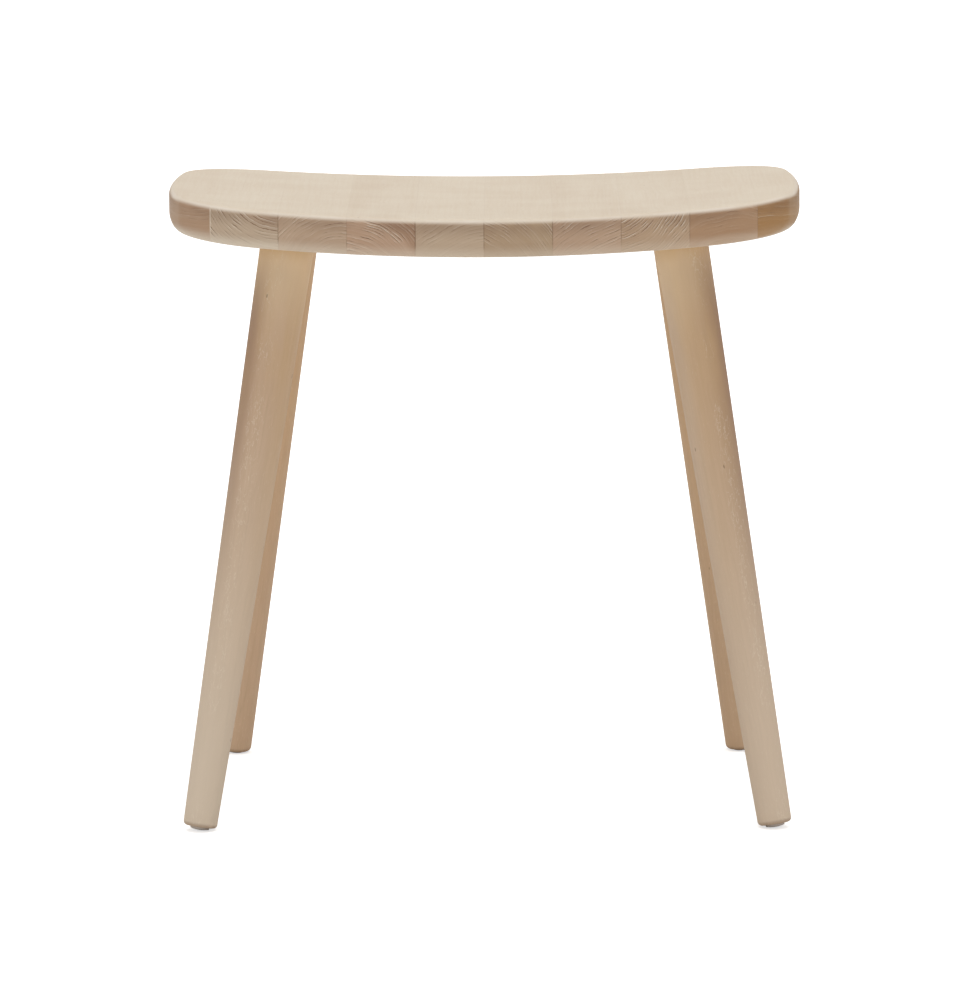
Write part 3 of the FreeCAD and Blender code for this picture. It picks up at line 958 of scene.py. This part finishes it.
def lay_floor(studio):
    """A white floor that takes the stool's shadow, and that can be looked through from below."""
    half = studio.floor_size / 2
    mesh = bpy.data.meshes.new("floor")
    corners = [(-half, -half, 0), (half, -half, 0), (half, half, 0), (-half, half, 0)]
    mesh.from_pydata(corners, [], [(0, 1, 2, 3)])
    floor = bpy.data.objects.new("floor", mesh)
    bpy.context.scene.collection.objects.link(floor)
    material = bpy.data.materials.new("white_floor")
    material.use_nodes = True
    nodes = material.node_tree.nodes
    nodes.remove(nodes["Principled BSDF"])
    maker = NodeMaker(material.node_tree)
    white = (studio.floor_white, studio.floor_white, studio.floor_white, 1.0)
    matt = maker.add("ShaderNodeBsdfDiffuse", {"Color": white})
    in_view = maker.times(seen_by(maker, "Is Camera Ray"), studio.floor_lift)
    in_gloss = maker.times(seen_by(maker, "Is Glossy Ray", "Is Transmission Ray"), studio.floor_gloss_lift)
    lift = maker.add("ShaderNodeEmission", {
        "Color": (1.0, 1.0, 1.0, 1.0), "Strength": maker.math("MAXIMUM", in_view, in_gloss)})
    both = maker.add("ShaderNodeAddShader", {0: matt.outputs[0], 1: lift.outputs[0]})
    back = maker.add("ShaderNodeNewGeometry").outputs["Backfacing"]
    from_below = maker.times(back, seen_by(maker, "Is Camera Ray"))
    clear = maker.add("ShaderNodeBsdfTransparent")
    surface = maker.add("ShaderNodeMixShader", {0: from_below, 1: both.outputs[0], 2: clear.outputs[0]})
    maker.feed(nodes["Material Output"].inputs["Surface"], surface.outputs[0])
    mesh.materials.append(material)


def light_room(studio):
    """Even light from a white room, and two soft boxes."""
    world = bpy.data.worlds.new("studio")
    world.use_nodes = True
    maker = NodeMaker(world.node_tree)
    background = world.node_tree.nodes["Background"]
    background.inputs["Color"].default_value = (1.0, 1.0, 1.0, 1.0)
    in_view = seen_by(maker, "Is Camera Ray", "Is Transmission Ray")
    in_view = maker.ramp(in_view, 0.0, 1.0, studio.sky_level, 1.0)
    in_gloss = maker.times(seen_by(maker, "Is Glossy Ray"), studio.sky_gloss_level)
    maker.feed(background.inputs["Strength"], maker.math("MAXIMUM", in_view, in_gloss))
    bpy.context.scene.world = world
    soft_box("overhead_light", studio.overhead_level, studio.softness, studio.overhead_tilt)
    soft_box("front_light", studio.front_level, studio.softness, studio.front_tilt)


def soft_box(name, level, width, tilt):
    """A soft box so far away that it lights stool and floor evenly, leaning from above to the front.

    A level of one lights a white surface that faces it to plain white.
    """
    light = bpy.data.lights.new(name, "SUN")
    light.energy = level * math.pi
    light.angle = width
    lamp = bpy.data.objects.new(name, light)
    lamp.rotation_euler = (tilt, 0.0, 0.0)
    bpy.context.scene.collection.objects.link(lamp)


def place_camera(studio):
    """The camera at the photograph's angle."""
    data = bpy.data.cameras.new("camera")
    data.lens = studio.lens
    data.sensor_width = SENSOR_WIDTH
    data.shift_x = studio.side_shift
    data.clip_end = FAR_CLIP
    camera = bpy.data.objects.new("camera", data)
    turn = Matrix.Rotation(studio.camera_turn, 4, "Z")
    stand = Matrix.Translation((0.0, -studio.camera_distance, studio.camera_height))
    aim = Euler((math.pi / 2 - studio.camera_tilt, 0.0, 0.0)).to_matrix().to_4x4()
    roll = Matrix.Rotation(studio.camera_roll, 4, "Z")
    camera.matrix_world = turn @ stand @ aim @ roll
    bpy.context.scene.collection.objects.link(camera)
    bpy.context.scene.camera = camera


class STOOL_PT_panel(bpy.types.Panel):
    """Lists what the stool is made of, in the order in which it is made"""

    bl_label = "Stool"
    bl_space_type = "VIEW_3D"
    bl_region_type = "UI"
    bl_category = "Stool"

    def draw(self, context):
        for settings in ("stool_seat", "stool_legs", "stool_wood", "stool_studio"):
            group = getattr(context.scene, settings)
            box = self.layout.box()
            for name in group.bl_rna.properties.keys():
                if name not in ("rna_type", "name"):
                    box.prop(group, name)
        for operator in OPERATORS:
            self.layout.operator(operator.bl_idname)


GROUPS = {
    "stool_seat": StoolSeat,
    "stool_legs": StoolLegs,
    "stool_wood": StoolWood,
    "stool_studio": StoolStudio,
}
OPERATORS = (STOOL_OT_staves, STOOL_OT_legs, STOOL_OT_glides, STOOL_OT_studio)


def register():
    for name, group in GROUPS.items():
        bpy.utils.register_class(group)
        setattr(bpy.types.Scene, name, PointerProperty(type=group))
    for operator in OPERATORS:
        bpy.utils.register_class(operator)
    bpy.utils.register_class(STOOL_PT_panel)


def unregister():
    bpy.utils.unregister_class(STOOL_PT_panel)
    for operator in reversed(OPERATORS):
        bpy.utils.unregister_class(operator)
    for name, group in reversed(GROUPS.items()):
        delattr(bpy.types.Scene, name)
        bpy.utils.unregister_class(group)


def main():
    register()
    wood_group(growth_rings_group(), fibres_group())
    seat_place_group()
    bpy.ops.stool.staves()
    bpy.ops.stool.legs()
    bpy.ops.stool.glides()
    bpy.ops.stool.studio()


if __name__ == "__main__":
    main()
